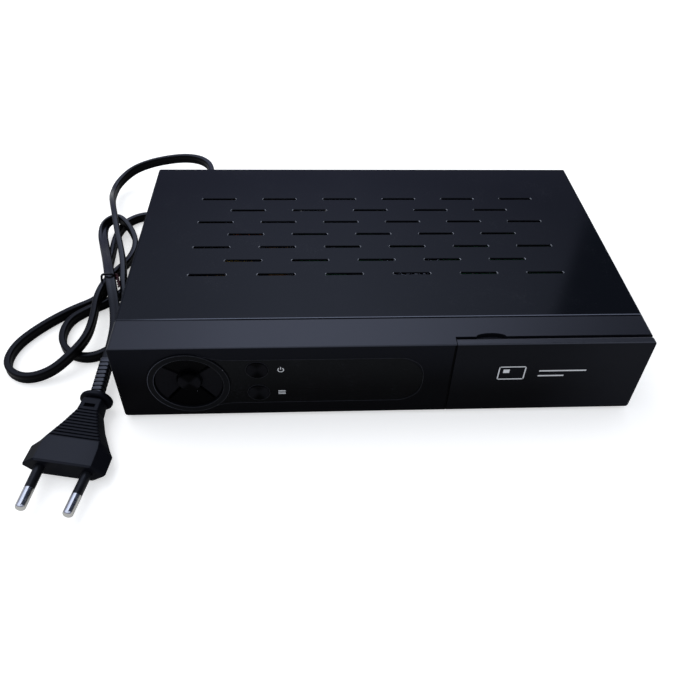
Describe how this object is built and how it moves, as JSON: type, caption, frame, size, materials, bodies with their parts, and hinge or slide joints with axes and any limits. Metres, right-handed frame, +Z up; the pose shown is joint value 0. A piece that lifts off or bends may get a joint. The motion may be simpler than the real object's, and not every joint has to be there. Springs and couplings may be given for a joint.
{
  "type": "satellite tv receiver",
  "caption": "Slim satellite TV receiver: black steel case with a slotted lid, four-way key pad, smoked window, hinged card door, rear sockets and a tied mains cord with a flat plug.",
  "frame": {"origin": "on the floor under the case, midway between its sides and between its front face and the ends of the rear sockets", "axes": "+X to the right seen from the front, +Y to the rear, +Z up"},
  "size_m": [0.2804, 0.2428, 0.041],
  "materials": {
    "cover_paint": "semi-gloss black paint on folded steel",
    "front_plastic": "black moulded plastic, satin to gloss",
    "door_plastic": "black moulded plastic, satin",
    "trim_plastic": "black trim with a bright edge",
    "key_plastic": "black satin keys",
    "smoked_window": "smoked black, polished",
    "pan_steel": "zinc plated sheet",
    "rubber": "matte rubber",
    "screw_black": "blackened screw",
    "screw_steel": "zinc plated screw",
    "pin_steel": "bright steel",
    "magnet": "nickel plated magnet",
    "circuit_board": "green solder mask",
    "power_board_brown": "brown paper laminate",
    "switch_black": "black switch",
    "display_grey": "dark grey display block",
    "eye_plastic": "dark infrared filter",
    "lamp_red": "red lamp lens",
    "ribbon_white": "white flat cable",
    "standoff_brass": "turned brass",
    "chip_black": "black resin",
    "sink_aluminium": "plain aluminium",
    "capacitor_sleeve": "dark blue shrink sleeve",
    "reader_plastic": "black card reader",
    "can_steel": "tinned steel",
    "socket_nickel": "nickel plated",
    "ring_colours": "coloured socket rings",
    "clear_sheet": "translucent insulating film",
    "ferrite": "grey ferrite",
    "winding_tape": "yellow tape over the winding",
    "fuse_glass": "clear glass",
    "copper_winding": "enamelled copper wire",
    "connector_white": "white nylon",
    "wire_red": "coloured wires",
    "wire_brown": "mains leads",
    "cord_black": "black flexible PVC",
    "plug_plastic": "matte black moulded PVC",
    "sleeve_black": "black insulating sleeves"
  },
  "bodies": {
    "receiver": {"front_fascia": "front_plastic", "door_magnet": "magnet", "top_cover": "cover_paint", "base_pan": "pan_steel", "rubber_feet": "rubber", "cover_screws": "screw_black", "pad_ring": "trim_plastic", "display_window": "smoked_window", "front_board": "circuit_board", "key_switches": "switch_black", "digit_display": "display_grey", "remote_eye": "eye_plastic", "standby_lamp": "lamp_red", "ribbon_cable": "ribbon_white", "main_board": "circuit_board", "board_standoffs": "standoff_brass", "board_screws": "screw_steel", "main_chip": "chip_black", "chip_heatsink": "sink_aluminium", "memory_chips": "chip_black", "board_capacitors": "capacitor_sleeve", "card_reader": "reader_plastic", "tuner_can": "can_steel", "aerial_in_socket": "socket_nickel", "aerial_loop_socket": "socket_nickel", "aerial_nuts": "socket_nickel", "av_housings": "chip_black", "av_shells": "socket_nickel", "av_colour_rings": "ring_colours", "hdmi_socket": "can_steel", "usb_socket": "can_steel", "power_board": "power_board_brown", "insulating_sheet": "clear_sheet", "transformer_core": "ferrite", "transformer_winding": "winding_tape", "bulk_capacitor": "capacitor_sleeve", "mains_fuse": "fuse_glass", "fuse_clips": "pin_steel", "mains_choke": "copper_winding", "heat_plate": "sink_aluminium", "switching_transistor": "chip_black", "wire_connectors": "connector_white", "power_harness": "wire_red", "mains_leads": "wire_brown", "cord_bushing": "cord_black", "power_cord": "cord_black", "cord_tie": "cord_black", "plug_body": "plug_plastic", "plug_pins": "socket_nickel", "pin_sleeves": "sleeve_black"},
    "door": {"card_door": "door_plastic", "door_hinge_pins": "pin_steel", "door_catch_plate": "pin_steel"},
    "up": {"up_key": "key_plastic"},
    "down": {"down_key": "key_plastic"},
    "left": {"left_key": "key_plastic"},
    "right": {"right_key": "key_plastic"},
    "ok": {"ok_button": "key_plastic"},
    "power": {"power_button": "key_plastic"},
    "menu": {"menu_button": "key_plastic"}
  },
  "joints": [
    {"name": "door_hinge", "type": "hinge", "parent": "receiver", "child": "door", "pos_m": [0.0691, -0.0719, 0.0041], "axis": [1, 0, 0], "range_deg": [0, 90]},
    {"name": "up_press", "type": "slide", "parent": "receiver", "child": "up", "axis": [0, 1, 0], "range_m": [0, 0.0005], "stiffness_N_per_m": 600},
    {"name": "down_press", "type": "slide", "parent": "receiver", "child": "down", "axis": [0, 1, 0], "range_m": [0, 0.0005], "stiffness_N_per_m": 600},
    {"name": "left_press", "type": "slide", "parent": "receiver", "child": "left", "axis": [0, 1, 0], "range_m": [0, 0.0005], "stiffness_N_per_m": 600},
    {"name": "right_press", "type": "slide", "parent": "receiver", "child": "right", "axis": [0, 1, 0], "range_m": [0, 0.0005], "stiffness_N_per_m": 600},
    {"name": "ok_press", "type": "slide", "parent": "receiver", "child": "ok", "axis": [0, 1, 0], "range_m": [0, 0.0005], "stiffness_N_per_m": 600},
    {"name": "power_press", "type": "slide", "parent": "receiver", "child": "power", "axis": [0, 1, 0], "range_m": [0, 0.0005], "stiffness_N_per_m": 600},
    {"name": "menu_press", "type": "slide", "parent": "receiver", "child": "menu", "axis": [0, 1, 0], "range_m": [0, 0.0005], "stiffness_N_per_m": 600}
  ]
}
